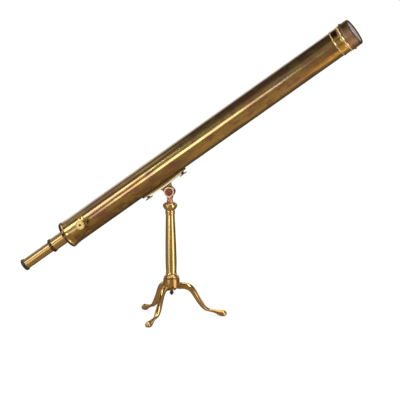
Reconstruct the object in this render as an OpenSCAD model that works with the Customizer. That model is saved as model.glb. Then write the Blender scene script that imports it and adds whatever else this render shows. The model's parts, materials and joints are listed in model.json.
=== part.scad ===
// Brass refracting telescope on a turned pillar with three folding legs.
// Millimetres, +Z up. The origin is on the pillar axis, in the plane the feet stand on.
// The tube lies in the XZ plane, objective toward +X, focusing knob on the -Y side.
// Stations on the tube are measured along its axis from the foot of the tilt pivot.

/* [Main tube] */
// Outside diameter of the main tube
tube_d = 82; // [78:0.5:84]
// Wall of the main tube
tube_wall = 1.3; // [1:0.1:1.5]
// Back end of the main tube
tube_back = -348; // [-360:1:-340]
// Front end of the main tube
tube_front = 731; // [600:1:850]
// How far the tail flange stands out from the tube
tail_step = 2.8; // [2:0.1:6]
// Station of the rear stop in the tube
rear_stop_x = 118; // [0:1:300]
// Clear hole of the rear stop
rear_stop_d = 54; // [40:1:70]
// Station of the front stop in the tube
front_stop_x = 430; // [310:1:560]
// Clear hole of the front stop
front_stop_d = 66; // [50:1:70]

/* [Objective] */
// How far the bright collar behind the cell stands out from the tube
collar_step = 1.5; // [1:0.1:3]
// How far the cell flange stands out from the tube
cell_flange_step = 5; // [3.5:0.1:8]
// How far the cell, where a cap slides on, stands out from the tube
cell_step = 2.2; // [1.8:0.1:3]
// Length of the cell in front of the tube
cell_length = 25; // [24:0.5:40]
// Front curve radius of the crown lens
crown_front_r = 690; // [500:10:2000]
// Shared curve radius between crown and flint
crown_back_r = 402; // [350:2:2000]

/* [Focusing] */
// Outside diameter of the drawtube
draw_d = 40.6; // [38:0.2:44]
// Wall of the drawtube
draw_wall = 1.2; // [0.8:0.1:1.4]
// Back end of the drawtube at rest
draw_back = -412; // [-425:1:-405]
// Front end of the drawtube at rest
draw_front = -180; // [-200:1:-150]
// Station of the pinion
pinion_x = -276; // [-290:1:-265]
// Module of the rack and pinion teeth
gear_module = 0.8; // [0.6:0.1:1]
// Number of teeth of the pinion
pinion_teeth = 16; // [14:1:20]
// Play between the teeth
backlash = 0.16; // [0.05:0.01:0.4]
// Radius of the pinion shaft
pinion_shaft_r = 3; // [2.5:0.1:4]
// Turn round the tube from the pinion to each screw of its plate
plate_screw_turn = 24; // [20:1:32]
// Diameter of the focusing knob
knob_d = 28.2; // [24:0.2:40]
// Distance of the knob face from the tube axis
knob_reach = 83; // [75:1:100]
// Number of ridges on the milled edges
milled_ridges = 60; // [24:2:90]

/* [Eyepiece] */
// Outside diameter of the sliding eyepiece tube
eye_tube_d = 33.6; // [28:0.2:35.4]
// Wall of the eyepiece tube
eye_tube_wall = 1; // [0.6:0.1:2]
// Back end of the eyepiece tube at rest
eye_back = -521; // [-560:1:-510]
// Front end of the eyepiece tube at rest
eye_front = -331; // [-350:1:-310]
// Outside diameter of the eye cap
eye_cap_d = 39.2; // [38:0.2:50]
// Diameter of the eye hole
eye_hole_d = 8.4; // [4:0.2:14]

/* [Saddle and tilt joint] */
// Tilt of the tube above level at rest
tilt = 35; // [0:0.5:50]
// Height of the tilt pivot over the feet
pivot_z = 398.2; // [396:0.1:404]
// Distance of the tube axis from the tilt pivot
axis_h = 73.9; // [72:0.1:80]
// Length of the saddle bar
bar_length = 167.5; // [160:0.5:220]
// Width of the saddle bar
bar_width = 24; // [20:1:32]
// Depth of the bar under the tube at its middle
bar_drop = 12; // [10:0.5:13]
// Depth of the bar under the tube at its ends
bar_end_drop = 3.5; // [2:0.5:6]
// Station of the rear thumbscrew
rear_screw_x = -66; // [-70:1:-45]
// Station of the front thumbscrew
front_screw_x = 67.5; // [45:0.5:70]
// Diameter of the thumbscrew heads
thumb_d = 26.2; // [18:0.2:34]
// Radius of the fork cheeks
cheek_r = 15.8; // [14:0.2:17]
// Thickness of each fork cheek
cheek_t = 6.5; // [5:0.5:8]
// Thickness of the tongue between the cheeks
tongue_t = 11; // [8:0.5:14]
// Radius of the tilt screw
tilt_screw_r = 5; // [4:0.5:6]

/* [Pillar] */
// Height of the joint between swivel head and pillar
swivel_z = 340.7; // [336:0.1:344]
// Greatest radius of the turned bulb
bulb_r = 22.4; // [20:0.2:28]
// Radius of the spindle in the pillar
spindle_r = 9; // [7:0.5:10]
// Length of the spindle
spindle_length = 64.7; // [40:0.1:90]
// Greatest radius of the pillar shaft
shaft_r = 17.4; // [16.5:0.1:20]
// How much thinner the shaft is at its top, on the radius
shaft_taper = 3.7; // [2:0.1:4]
// Height of the thickest place of the shaft above the foot of the pillar
shaft_belly = 50; // [35:1:80]
// Height of the foot of the pillar
pillar_foot_z = 126; // [120:1:132]

/* [Hub and legs] */
// Radius of the hub
hub_r = 25.4; // [24:0.2:27]
// Radius of the circle the leg hinges lie on
hinge_r = 20; // [19:0.5:21]
// Height of the leg hinges
hinge_z = 101.5; // [101.2:0.1:102]
// Radius of the hinge pins
pin_r = 2.5; // [1.5:0.1:3]
// Thickness of the root of a leg, in its slot
root_t = 9; // [7:0.5:11]
// Direction of the first leg
leg_azimuth = 16; // [-60:1:60]
// Scale of the width of the legs
leg_width = 1; // [0.8:0.05:1.3]

/* [Hidden] */
$fn = 96;

aged = [0.55, 0.42, 0.20];
bright = [0.76, 0.60, 0.30];
brown = [0.30, 0.22, 0.16];
black = [0.06, 0.05, 0.05];
copper = [0.45, 0.27, 0.18];
iron = [0.16, 0.14, 0.12];
clear = [0.75, 0.85, 0.82, 0.4];
hide = [0.30, 0.20, 0.13];

play = 0.05;          // running clearance on the radius
fit = 0.03;           // clearance of fixed pieces
tube_r = tube_d / 2;
bore_r = tube_r - tube_wall;
draw_r = draw_d / 2;
draw_in = draw_r - draw_wall;
eye_r = eye_tube_d / 2;
eye_in = eye_r - eye_tube_wall;
lens_r = tube_r - 1.7;
cell_r = tube_r + cell_step;
cell_front = tube_front + cell_length;
lens_seat = tube_front + 6.5;
flint_t = 6;
crown_t = 7.5;
spacer_t = 0.7;
pitch_r = gear_module * pinion_teeth / 2;
tooth_root = 1.25 * gear_module;
rack_low = -pitch_r - 6;
rack_out = draw_r + 3.3;
rack_step = PI * gear_module;
rack_teeth = 47;
rack_back = pinion_x - 20 * rack_step;
rack_screw_z = rack_low + 2.4;
rack_screw_x = [for (i = [0:2]) rack_back + 9 + 49 * i];
thread_r = 27.5;      // thread between the draw collar and the tail ring
guide_x = pinion_x + 20;
plate_r = tube_r + 2.7;
screw_seat_r = plate_r - 1.2;
pinion_in = draw_r + 0.4;
pinion_out = pinion_in + 2.7;
boss_in = pinion_out + 0.5;
boss_out = tube_r + 13;
eye_lens_x = eye_back + 5.1;
field_lens_x = eye_back + 54.1;
erector_rear_x = eye_back + 118.1;
erector_front_x = eye_front - 10.6;
lens_edge = 2.5;
screw_x = [rear_screw_x, front_screw_x];
thumb_shank_r = 3;
tilt_head_r = 11.5;
bar_bow = (pow(bar_length / 2, 2) + pow(bar_drop - bar_end_drop, 2)) / 2 / (bar_drop - bar_end_drop);
washer_t = 0.9;
fork_half = cheek_t + tongue_t / 2 + washer_t + 0.1;
spindle_low = swivel_z - spindle_length;
pillar_bore_r = 11.5;
hub_bore_r = 4.1;
hub_low = 92;

// Rows of a leg: radius, height, half depth and half width.
leg_rows = [
    [27, 100.9, 10.4, 6.2], [38, 100.4, 10.6, 7.0], [48, 98.2, 10.6, 7.6], [58, 92.8, 10.3, 8.0],
    [66.5, 84, 9.8, 8.2], [73.5, 73, 9.2, 8.2], [80, 61, 8.8, 8.4], [87, 49.5, 8.4, 8.8],
    [94.5, 38.5, 7.9, 9.2], [101.5, 30, 7.0, 9.0], [109, 24, 5.9, 7.4], [117, 20.6, 4.9, 5.6],
    [126, 18.3, 4.9, 5.4], [136, 15.6, 6.0, 6.8], [146, 12.2, 8.0, 8.8], [155, 9.8, 10.1, 10.2],
    [163, 9.0, 9.4, 9.6], [169, 8.4, 5.8, 6.4], [171.6, 8.2, 1.0, 1.2]];

// Points of an arc in a profile
function arc(c, r, a0, a1, n = 8) =
    [for (i = [0:n]) c + r * [cos(a0 + (a1 - a0) * i / n), sin(a0 + (a1 - a0) * i / n)]];

// Depth of a spherical surface of radius R at distance r from its axis
function sag(R, r) = R - sqrt(R * R - r * r);

// Smooth interpolation between four rows
function blend(a, b, c, d, t) =
    0.5 * (2 * b + (c - a) * t + (2 * a - 5 * b + 4 * c - d) * t * t
        + (3 * b - a - 3 * c + d) * t * t * t);

// Places what is drawn on the tube axis, with the tilt it has at rest
module on_tube() {
    translate([0, 0, pivot_z]) rotate([0, -tilt, 0]) translate([0, 0, axis_h]) children();
}

// Turned piece about the tube axis, from [radius, station] points
module turned(points) {
    rotate([0, 90, 0]) rotate_extrude() polygon(points);
}

// Round bar along -Y from one distance to another, at a station of the tube
module radial(r, from, to, x = 0, z = 0) {
    translate([x, -from, z]) rotate([90, 0, 0]) cylinder(r = r, h = to - from);
}

// Round bar along the tube's own vertical
module upright(r, low, high, x = 0) {
    translate([x, 0, low]) cylinder(r = r, h = high - low);
}

// Disc with a milled edge and small bevels, along +Z from 0
module milled_disc(r, h, depth = 0.45, bevel = 0.9) {
    intersection() {
        linear_extrude(h) polygon([for (i = [0:2 * milled_ridges - 1])
            (r - (i % 2) * depth) * [cos(180 * i / milled_ridges), sin(180 * i / milled_ridges)]]);
        rotate_extrude() polygon([[0, 0], [r - bevel, 0], [r + 0.1, bevel + 0.1],
            [r + 0.1, h - bevel - 0.1], [r - bevel, h], [0, h]]);
    }
}

// Lens with curved faces, its edge from station a to b
module lens(r, a, b, back_bulge, front_bulge) {
    Rb = back_bulge == 0 ? 0 : (r * r + back_bulge * back_bulge) / 2 / abs(back_bulge);
    Rf = front_bulge == 0 ? 0 : (r * r + front_bulge * front_bulge) / 2 / abs(front_bulge);
    n = 10;
    back = [for (i = [0:n]) let (q = r * i / n)
        [q, a - (Rb == 0 ? 0 : sign(back_bulge) * (sag(Rb, r) - sag(Rb, q)))]];
    front = [for (i = [0:n]) let (q = r * (1 - i / n))
        [q, b + (Rf == 0 ? 0 : sign(front_bulge) * (sag(Rf, r) - sag(Rf, q)))]];
    turned(concat(back, front));
}

// Height of the flat seat of a thumbscrew, spot-faced into the bowed bar
function thumb_seat(x) = -tube_r - bar_drop + pow(abs(x) + 6.5, 2) / 2 / bar_bow;

// Places what is drawn at the pinion at each screw of the pinion plate
module at_plate_screws() {
    for (s = [-1, 1]) rotate([s * plate_screw_turn, 0, 0]) children();
}

module body_tube() color(aged) on_tube() difference() {
    turned([[bore_r, tube_back], [tube_r, tube_back], [tube_r, tube_front], [bore_r, tube_front]]);
    radial(8, bore_r - 4, tube_r + 4, pinion_x);
    at_plate_screws() radial(1.25, bore_r - 4, tube_r + 2, pinion_x);
    for (x = screw_x) upright(thumb_shank_r + 0.3, -tube_r - 3, -bore_r + 3, x);
}

module tail_ring() color(aged) on_tube() {
    r = tube_r + tail_step;
    turned([[thread_r + fit, tube_back - 8], [r - 1, tube_back - 8], [r, tube_back - 7],
        [r, tube_back + 0.5], [r - 0.6, tube_back + 1.5], [tube_r + 1.3, tube_back + 4],
        [tube_r + 0.85, tube_back + 10], [tube_r + 0.7, tube_back + 17],
        [tube_r + fit, tube_back + 17], [tube_r + fit, tube_back - fit],
        [bore_r - fit, tube_back - fit], [bore_r - fit, tube_back + 18],
        [bore_r - 2.2, tube_back + 18], [bore_r - 2.2, tube_back - 2],
        [thread_r + fit, tube_back - 2]]);
}

// Keyway the rack slides through
module rack_way(x0, x1) {
    translate([x0, -rack_out - 0.4, rack_low - 0.4]) cube([x1 - x0, 8, 7.2]);
}

module draw_collar() color(bright) on_tube() difference() {
    b = tube_back - 8;
    turned(concat([[draw_r + play, b - 6]], arc([thread_r + 0.8, b - 4.8], 1.2, -90, 0, 4),
        arc([thread_r + 0.8, b - 1.3], 1.2, 0, 60, 4),
        [[thread_r + 1.5, b - fit], [thread_r, b - fit], [thread_r, b + 8],
        [draw_r + 3.2, b + 12], [draw_r + 3.2, b + 21], [draw_r + play, b + 21]]));
    rack_way(b - 10, b + 30);
}

module inner_guide_ring() color(brown) on_tube() difference() {
    g = guide_x;
    turned([[draw_r + play, g], [draw_r + 3, g], [draw_r + 3, g + 4], [bore_r - 3, g + 5.5],
        [bore_r - 3, g], [bore_r - fit, g], [bore_r - fit, g + 14], [bore_r - 1.5, g + 14],
        [bore_r - 1.5, g + 8], [draw_r + 3, g + 8], [draw_r + 3, g + 14], [draw_r + play, g + 14]]);
    rack_way(g - 4, g + 18);
}

module tube_stop(x, hole) color(black) on_tube()
    turned([[hole / 2, x], [bore_r - fit, x], [bore_r - fit, x + 9], [bore_r - 1.2, x + 9],
        [bore_r - 1.2, x + 1.2], [hole / 2, x + 1.2]]);

module tube_stop_rear() tube_stop(rear_stop_x, rear_stop_d);
module tube_stop_front() tube_stop(front_stop_x, front_stop_d);

module objective_collar() color(bright) on_tube() {
    b = tube_front - 36.5;
    r = tube_r + collar_step;
    turned([[tube_r + fit, b], [r + 0.5, b], [r + 1, b + 0.8], [r + 1, b + 2.6], [r + 0.5, b + 3.4],
        [r, b + 3.8], [r, b + 23], [r + 0.45, b + 23.5], [r + 0.45, b + 24.9], [r, b + 25.4],
        [r, b + 27], [r + 0.8, b + 27.5], [r + 1.7, b + 29], [r + 1.7, b + 31.6], [r + 0.9, b + 33],
        [r + 0.6, b + 33.8], [r + 0.6, tube_front], [tube_r + fit, tube_front]]);
}

module objective_cell() color(brown) on_tube() {
    f = tube_r + cell_flange_step;
    b = tube_front;
    turned([[lens_r - 1.1, b - 19], [bore_r - fit, b - 19], [bore_r - fit, b + fit],
        [f - 0.8, b + fit], [f, b + 0.9], [f, b + 4.3], [f - 0.8, b + 5.1], [cell_r, b + 5.5],
        [cell_r, cell_front], [lens_r + 0.15, cell_front], [lens_r + 0.15, lens_seat],
        [lens_r - 1.1, lens_seat]]);
}

module flint_lens() color(clear) on_tube()
    lens(lens_r, lens_seat + 0.1, lens_seat + 0.1 + flint_t, 0, -sag(crown_back_r, lens_r));

module lens_spacer_ring() color(brown) on_tube() {
    b = lens_seat + flint_t + 0.15;
    turned([[lens_r - 1.3, b], [lens_r, b], [lens_r, b + spacer_t], [lens_r - 1.3, b + spacer_t - 0.15]]);
}

module crown_lens() color(clear) on_tube() {
    b = lens_seat + flint_t + spacer_t + 0.2;
    lens(lens_r, b, b + crown_t, sag(crown_back_r, lens_r), sag(crown_front_r, lens_r));
}

module objective_rim() color(black) on_tube() {
    r = cell_r - 0.5;
    b = lens_seat + flint_t + spacer_t + crown_t + 0.3;
    f = cell_front;
    turned([[lens_r - 1.7, b], [lens_r + 0.12, b], [lens_r + 0.12, f + fit], [r, f + fit],
        [r, f + 2.8], [r - 0.5, f + 4.2], [r - 1.5, f + 5], [r - 2.8, f + 5.2],
        [lens_r - 1.7, f - 0.4]]);
}

// Bearing plate bent to the tube, with a round end under each screw and a boss for the pinion shaft
module pinion_plate() color(bright) on_tube() difference() {
    end_r = 9;
    end_z = plate_r * sin(plate_screw_turn);
    union() {
        intersection() {
            union() {
                translate([pinion_x - end_r, -plate_r - 5, -end_z]) cube([2 * end_r, 40, 2 * end_z]);
                for (z = [-end_z, end_z]) radial(end_r, 10, plate_r + 5, pinion_x, z);
                radial(12, 10, plate_r + 5, pinion_x);
            }
            turned([[tube_r + fit, pinion_x - 20], [plate_r, pinion_x - 20],
                [plate_r, pinion_x + 20], [tube_r + fit, pinion_x + 20]]);
        }
        radial(7.6, boss_in, boss_out - 1, pinion_x);
        radial(6.6, boss_in, boss_out, pinion_x);
    }
    radial(pinion_shaft_r + play, boss_in - 2, boss_out + 2, pinion_x);
    at_plate_screws() {
        radial(1.45, bore_r, plate_r + 2, pinion_x);
        radial(3.3, screw_seat_r, plate_r + 2, pinion_x);
    }
}

module pinion_plate_screws() color(copper) on_tube() at_plate_screws() difference() {
    union() {
        radial(1.2, bore_r - 3, screw_seat_r + 1, pinion_x);
        radial(3.1, screw_seat_r, screw_seat_r + 1.5, pinion_x);
    }
    translate([pinion_x - 4, -screw_seat_r - 2, -0.4]) cube([8, 1, 0.8]);
}

// Angle that an involute has turned at radius r, from its base radius rb
function involute(rb, r) = let (a = acos(rb / r)) tan(a) * 180 / PI - a;

// Half of a tooth as [radius, angle] pairs, from the base circle to the tip
function flank(rb, rp, ra, half) =
    [for (i = [0:5]) let (r = rb + (ra - rb) * i / 5) [r, half + involute(rb, rp) - involute(rb, r)]];

// Point of a tooth's outline at a radius and an angle
function polar(r, a) = r * [cos(a), sin(a)];

module pinion_profile() {
    rb = pitch_r * cos(20) + 0.001;
    rr = pitch_r - tooth_root;
    half = 90 / pinion_teeth - backlash / 4 / pitch_r * 180 / PI;
    side = flank(rb, pitch_r, pitch_r + gear_module, half);
    foot = side[0][1] * 1.04;
    polygon([for (k = [0:pinion_teeth - 1]) let (c = 360 * k / pinion_teeth)
        each concat([polar(rr, c - 180 / pinion_teeth), polar(rr, c - foot)],
            [for (p = side) polar(p[0], c - p[1])],
            [for (i = [5:-1:0]) polar(side[i][0], c + side[i][1])], [polar(rr, c + foot)])]);
}

module pinion_shaft() color(copper) on_tube() difference() {
    union() {
        translate([pinion_x, -pinion_in, 0]) rotate([90, 0, 0])
            linear_extrude(pinion_out - pinion_in) rotate(90) pinion_profile();
        radial(pinion_shaft_r, pinion_in, knob_reach - 3, pinion_x);
        radial(pinion_shaft_r + 1.6, boss_out + 0.1, boss_out + 2, pinion_x);
    }
    radial(1.6, knob_reach - 14, knob_reach, pinion_x);
}

module focus_knob() color(bright) on_tube() translate([pinion_x, 0, 0]) rotate([90, 0, 0])
    difference() {
        union() {
            translate([0, 0, knob_reach - 10]) milled_disc(knob_d / 2, 10);
            rotate_extrude() polygon([[0, boss_out + 2.5], [6.6, boss_out + 2.5],
                [7.2, boss_out + 3.5], [6.2, boss_out + 7], [6.6, knob_reach - 12],
                [9.5, knob_reach - 9.6], [0, knob_reach - 9]]);
        }
        cylinder(r = pinion_shaft_r + fit, h = knob_reach - 3 + fit);
        cylinder(r = 1.8, h = knob_reach + 1);
        translate([0, 0, knob_reach]) rotate_extrude()
            polygon([[0, -0.8], [3.9, -0.8], [3.9, 0.1], [0, 0.1]]);
        rotate_extrude() polygon([[9.6, knob_reach + 0.1], [10.2, knob_reach - 0.5],
            [11, knob_reach - 0.5], [11.6, knob_reach + 0.1]]);
    }

module knob_screw() color(iron) on_tube() difference() {
    union() {
        radial(1.55, knob_reach - 13, knob_reach, pinion_x);
        radial(3.6, knob_reach - 0.78, knob_reach + 0.9, pinion_x);
    }
    translate([pinion_x, -knob_reach, 0]) rotate([0, 40, 0]) translate([-5, -2, -0.45])
        cube([10, 1.7, 0.9]);
}

module drawtube() color(aged) on_tube() difference() {
    turned([[draw_in, draw_back], [draw_r, draw_back], [draw_r, draw_front], [draw_in, draw_front]]);
    for (x = rack_screw_x) radial(1.05, 12, 26, x, rack_screw_z);
}

module drawtube_ring() color(brown) on_tube() {
    b = draw_back;
    turned(concat([[eye_r + play, b - 6.5]], arc([draw_r + 1.1, b - 5.1], 1.4, -90, -10, 5),
        arc([draw_r + 0.7, b - 1.6], 1.8, 0, 60, 5),
        [[draw_r + 1, b + 2.6], [draw_r + 1, b + 3.5], [draw_r + fit, b + 3.5], [draw_r + fit, b - fit],
        [draw_in - fit, b - fit], [draw_in - fit, b + 8], [eye_r + play, b + 8]]));
}

// Straight-sided rack on the drawtube, its teeth meeting those of the pinion half a step apart
module focus_rack() color(bright) on_tube() difference() {
    half = (rack_step - backlash) / 4;
    tip = half - gear_module * tan(20);
    root = half + tooth_root * tan(20);
    first = rack_back + rack_step / 2;
    end = first + rack_teeth * rack_step - root;
    low = -pitch_r - tooth_root;
    translate([0, -rack_out, 0]) rotate([-90, 0, 0]) linear_extrude(7) mirror([0, 1, 0])
        polygon(concat([[rack_back, rack_low], [rack_back, low]],
            [for (k = [0:rack_teeth - 1]) let (c = first + k * rack_step) each [[c - root, low],
                [c - tip, gear_module - pitch_r], [c + tip, gear_module - pitch_r], [c + root, low]]],
            [[end, low], [end, rack_low]]));
    turned([[0, rack_back - 5], [draw_r + fit, rack_back - 5], [draw_r + fit, end + 5], [0, end + 5]]);
    for (x = rack_screw_x) {
        radial(1.25, 12, 26, x, rack_screw_z);
        radial(2, rack_out - 1.2, 26, x, rack_screw_z);
    }
}

module rack_screws() color(iron) on_tube() for (x = rack_screw_x) {
    radial(1, draw_in - 2, rack_out - 0.5, x, rack_screw_z);
    radial(1.9, rack_out - 1.15, rack_out - 0.1, x, rack_screw_z);
}

module eyepiece_tube() color(aged) on_tube()
    turned([[eye_in, eye_back], [eye_r, eye_back], [eye_r, eye_front], [eye_in, eye_front]]);

module eye_cap() color(black) on_tube() {
    b = eye_back;
    r = eye_cap_d / 2;
    turned([[eye_hole_d / 2, b - 6.5], [9, b - 8.2], [r - 3.4, b - 9.3], [r - 1.2, b - 9],
        [r - 0.2, b - 7.6], [r, b - 6], [r, b - 2.6], [r - 0.8, b - 0.8], [r - 1.6, b + 1.4],
        [eye_r + fit, b + 1.4], [eye_r + fit, b - fit], [eye_in - fit, b - fit],
        [eye_in - fit, b + 2.5], [eye_in - 1.6, b + 2.5], [eye_in - 1.6, b - 3.5],
        [eye_hole_d / 2, b - 3.5]]);
}

// Lens of the eyepiece tube, its edge starting at station x
module eyepiece_lens(x, back_bulge, front_bulge) color(clear) on_tube()
    lens(eye_in - 0.1, x, x + lens_edge, back_bulge, front_bulge);

module eye_lens() eyepiece_lens(eye_lens_x, 0, 3.4);
module field_lens() eyepiece_lens(field_lens_x, 0, 3);
module erector_lens_rear() eyepiece_lens(erector_rear_x, 0, 3);
module erector_lens_front() eyepiece_lens(erector_front_x, 2.6, 0);

// Spring rings that hold the four lenses, behind three of them and before the last
module eyepiece_rings() color(brown) on_tube()
    for (x = [eye_lens_x - 1.5, field_lens_x - 1.5, erector_rear_x - 1.5, erector_front_x + lens_edge + 0.1])
        turned([[eye_in - 2.6, x], [eye_in - fit, x], [eye_in - fit, x + 1.4], [eye_in - 2.6, x + 1.4]]);

module erector_cell() color(brown) on_tube()
    turned([[eye_r + fit, eye_front - 10], [draw_in - play, eye_front - 10],
        [draw_in - play, eye_front + 2], [12, eye_front + 2], [12, eye_front + fit],
        [eye_r + fit, eye_front + fit]]);

// Saddle bar with the tongue of the tilt joint
module saddle_bar() color(bright) on_tube() difference() {
    span = bar_length - bar_width;
    union() {
        intersection() {
            union() {
                translate([-span / 2, -bar_width / 2, -tube_r - 20]) cube([span, bar_width, 26]);
                for (s = [-1, 1]) upright(bar_width / 2, -tube_r - 20, -tube_r + 6, s * span / 2);
            }
            translate([0, 60, bar_bow - tube_r - bar_drop]) rotate([90, 0, 0])
                cylinder(r = bar_bow, h = 120, $fn = 360);
        }
        translate([-15, -9, -axis_h + cheek_r + 0.6])
            cube([30, 18, axis_h - cheek_r - tube_r - 1]);
        translate([0, tongue_t / 2, 0]) rotate([90, 0, 0]) linear_extrude(tongue_t)
            polygon([[-22, -tube_r - 8.5], [22, -tube_r - 8.5], [19.5, -tube_r - 12.6],
                [16.2, -tube_r - 18], [15.2, -axis_h + 3.4], [-15.2, -axis_h + 3.4],
                [-16.2, -tube_r - 18], [-19.5, -tube_r - 12.6]]);
        translate([0, 0, -axis_h]) radial(15.5, -tongue_t / 2, tongue_t / 2);
    }
    turned([[0, -100], [tube_r + fit, -100], [tube_r + fit, 100], [0, 100]]);
    for (x = screw_x) {
        upright(thumb_shank_r + 0.1, -tube_r - 20, -tube_r + 10, x);
        upright(8.5, -tube_r - 20, thumb_seat(x), x);
    }
    translate([0, 0, -axis_h]) radial(tilt_screw_r + play, -20, 20);
}

module saddle_nuts() color(bright) on_tube() for (x = screw_x)
    difference() {
        intersection() {
            upright(8, -tube_r, -tube_r + 10, x);
            turned([[0, x - 20], [bore_r - fit, x - 20], [bore_r - fit, x + 20], [0, x + 20]]);
        }
        upright(thumb_shank_r + play, -tube_r - 2, -tube_r + 12, x);
    }

// Thumbscrew with a milled head on a waisted neck, at a station of the bar
module thumbscrew(x) color(bright) on_tube() {
    seat = thumb_seat(x);
    upright(thumb_shank_r, seat - 1, -tube_r + 11, x);
    translate([x, 0, seat]) rotate_extrude()
        polygon([[0, -8.8], [7.5, -8.8], [7.5, -5.8], [5.2, -4.8], [4.5, -3.2], [5.2, -1.6],
            [6.2, -0.9], [6.2, -0.05], [0, -0.05]]);
    translate([x, 0, seat - 9.1]) milled_disc(thumb_d / 2, 3.6, 0.45, 1);
}

module rear_thumbscrew() thumbscrew(rear_screw_x);
module front_thumbscrew() thumbscrew(front_screw_x);

module tilt_screw() color(copper) translate([0, 0, pivot_z]) difference() {
    union() {
        radial(tilt_screw_r, -fork_half + cheek_t + 0.2, fork_half + 0.1);
        radial(tilt_screw_r - 0.8, -fork_half + 0.4, 0);
        translate([0, -fork_half - fit, 0]) rotate([90, 0, 0]) rotate_extrude()
            polygon([[0, 0], [tilt_head_r, 0], [tilt_head_r, 2.2], [tilt_head_r - 0.9, 3.3],
                [tilt_head_r - 3.5, 3.9], [0, 4.2]]);
    }
    rotate([0, 25, 0]) translate([-12, -fork_half - 6, -0.8]) cube([24, 3.6, 1.6]);
}

module tilt_washers() color(hide) translate([0, 0, pivot_z])
    for (s = [-1, 1]) difference() {
        middle = s * (tongue_t + washer_t + 0.1) / 2;
        radial(cheek_r - 0.9, middle - washer_t / 2, middle + washer_t / 2);
        radial(tilt_screw_r + 0.1, -20, 20);
    }

// Fork, neck, bulb and spindle, turned and filed from one casting
module swivel_head() color(bright) difference() {
    s = swivel_z;
    b = spindle_low;
    wide_z = s + 15.7;
    fork_z = pivot_z - 16.2;
    slot = tongue_t + 2 * washer_t + 0.2;
    union() {
        rotate_extrude() polygon(concat([[0, b - 14], [5, b - 14], [5, b], [spindle_r, b],
            [spindle_r, s + play], [14.4, s + play]], arc([bulb_r - 18.3, wide_z], 18.3, -51.8, 0),
            arc([bulb_r - 7, wide_z], 7, 8, 65, 6), [[15.4, s + 24], [12, s + 24.9], [10.4, s + 26.3],
            [9.8, s + 27.7]], arc([8.9, s + 29.9], 1.5, -50, 60, 6), [[8.4, s + 32.6],
            [8.2, s + 33.9], [8.2, fork_z - 5], [8.6, fork_z - 2], [8.6, fork_z], [0, fork_z]]));
        intersection() {
            rotate_extrude() polygon([[0, fork_z - 10], [8.2, fork_z - 7], [9.6, fork_z - 5],
                [12.4, fork_z - 2.4], [15.6, fork_z], [15.6, fork_z + 4], [0, fork_z + 4]]);
            translate([-8.3, -fork_half, fork_z - 12]) cube([16.6, 2 * fork_half, 20]);
        }
        translate([0, 0, pivot_z]) radial(cheek_r, -fork_half, fork_half);
    }
    translate([-30, -slot / 2, fork_z]) cube([60, slot, 60]);
    translate([0, 0, pivot_z]) {
        radial(tilt_screw_r + play, -fork_half + cheek_t, 30);
        radial(tilt_screw_r - 0.8 + fit, -30, 0);
    }
}

module spindle_washer() color(bright) rotate_extrude()
    polygon([[5.1, spindle_low - 3], [10.8, spindle_low - 3], [10.8, spindle_low - 0.1],
        [5.1, spindle_low - 0.1]]);

module spindle_nut() color(iron) difference() {
    translate([0, 0, spindle_low - 11]) cylinder(r = 9.6, h = 7.9, $fn = 6);
    translate([0, 0, spindle_low - 16]) cylinder(r = 5 + fit, h = 20);
}

// Radius of the pillar shaft at height h above the foot, thickest at its belly
function shaft(h, top) = h < shaft_belly ? shaft_r - 1.1 * pow((shaft_belly - h) / 31, 1.5)
    : shaft_r - shaft_taper * pow((h - shaft_belly) / (top - shaft_belly), 1.5);

module pillar() color(bright) {
    f = pillar_foot_z;
    t = swivel_z;
    top = t - 15.4 - f;
    heights = concat([19, 26, 34], [for (i = [0:6]) shaft_belly + (top - shaft_belly) * i / 6]);
    rise = [for (h = heights) [shaft(h, top), f + h]];
    rotate_extrude() polygon(concat([[pillar_bore_r, f], [21.8, f]], arc([20.3, f + 4.1], 4, -60, 60),
        [[19.6, f + 9.2], [17.7, f + 12], [16.7, f + 15.6]], rise,
        [[14, t - 14.6], [14.7, t - 13.8], [15.05, t - 12.6], [15.1, t - 8.6], [14.6, t - 7.6],
        [14.6, t - 6.8], [15.1, t - 5.8], [15.05, t - 2.4], [14.5, t - 0.8], [13.9, t],
        [spindle_r + play, t], [spindle_r + play, spindle_low], [pillar_bore_r, spindle_low]]));
}

// Hub with a spigot up into the pillar and a slot for the root of each leg
module tripod_hub() color(bright) difference() {
    top = pillar_foot_z - 0.4;
    spigot_r = pillar_bore_r - fit;
    rotate_extrude() polygon([[hub_bore_r, hub_low], [17, hub_low], [hub_r - 0.8, hub_low + 5.4],
        [hub_r, hub_low + 6.4], [hub_r, top - 1.4], [hub_r - 0.7, top], [spigot_r, top],
        [spigot_r, top + 24.4], [hub_bore_r, top + 24.4]]);
    for (a = [0, 120, 240]) rotate(leg_azimuth + a) {
        translate([10, -root_t / 2 - 0.1, 80]) cube([30, root_t + 0.2, hinge_z + 10.2 - 80]);
        translate([hinge_r, 20, hinge_z]) rotate([90, 0, 0]) cylinder(r = pin_r + fit, h = 40);
    }
}

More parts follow.
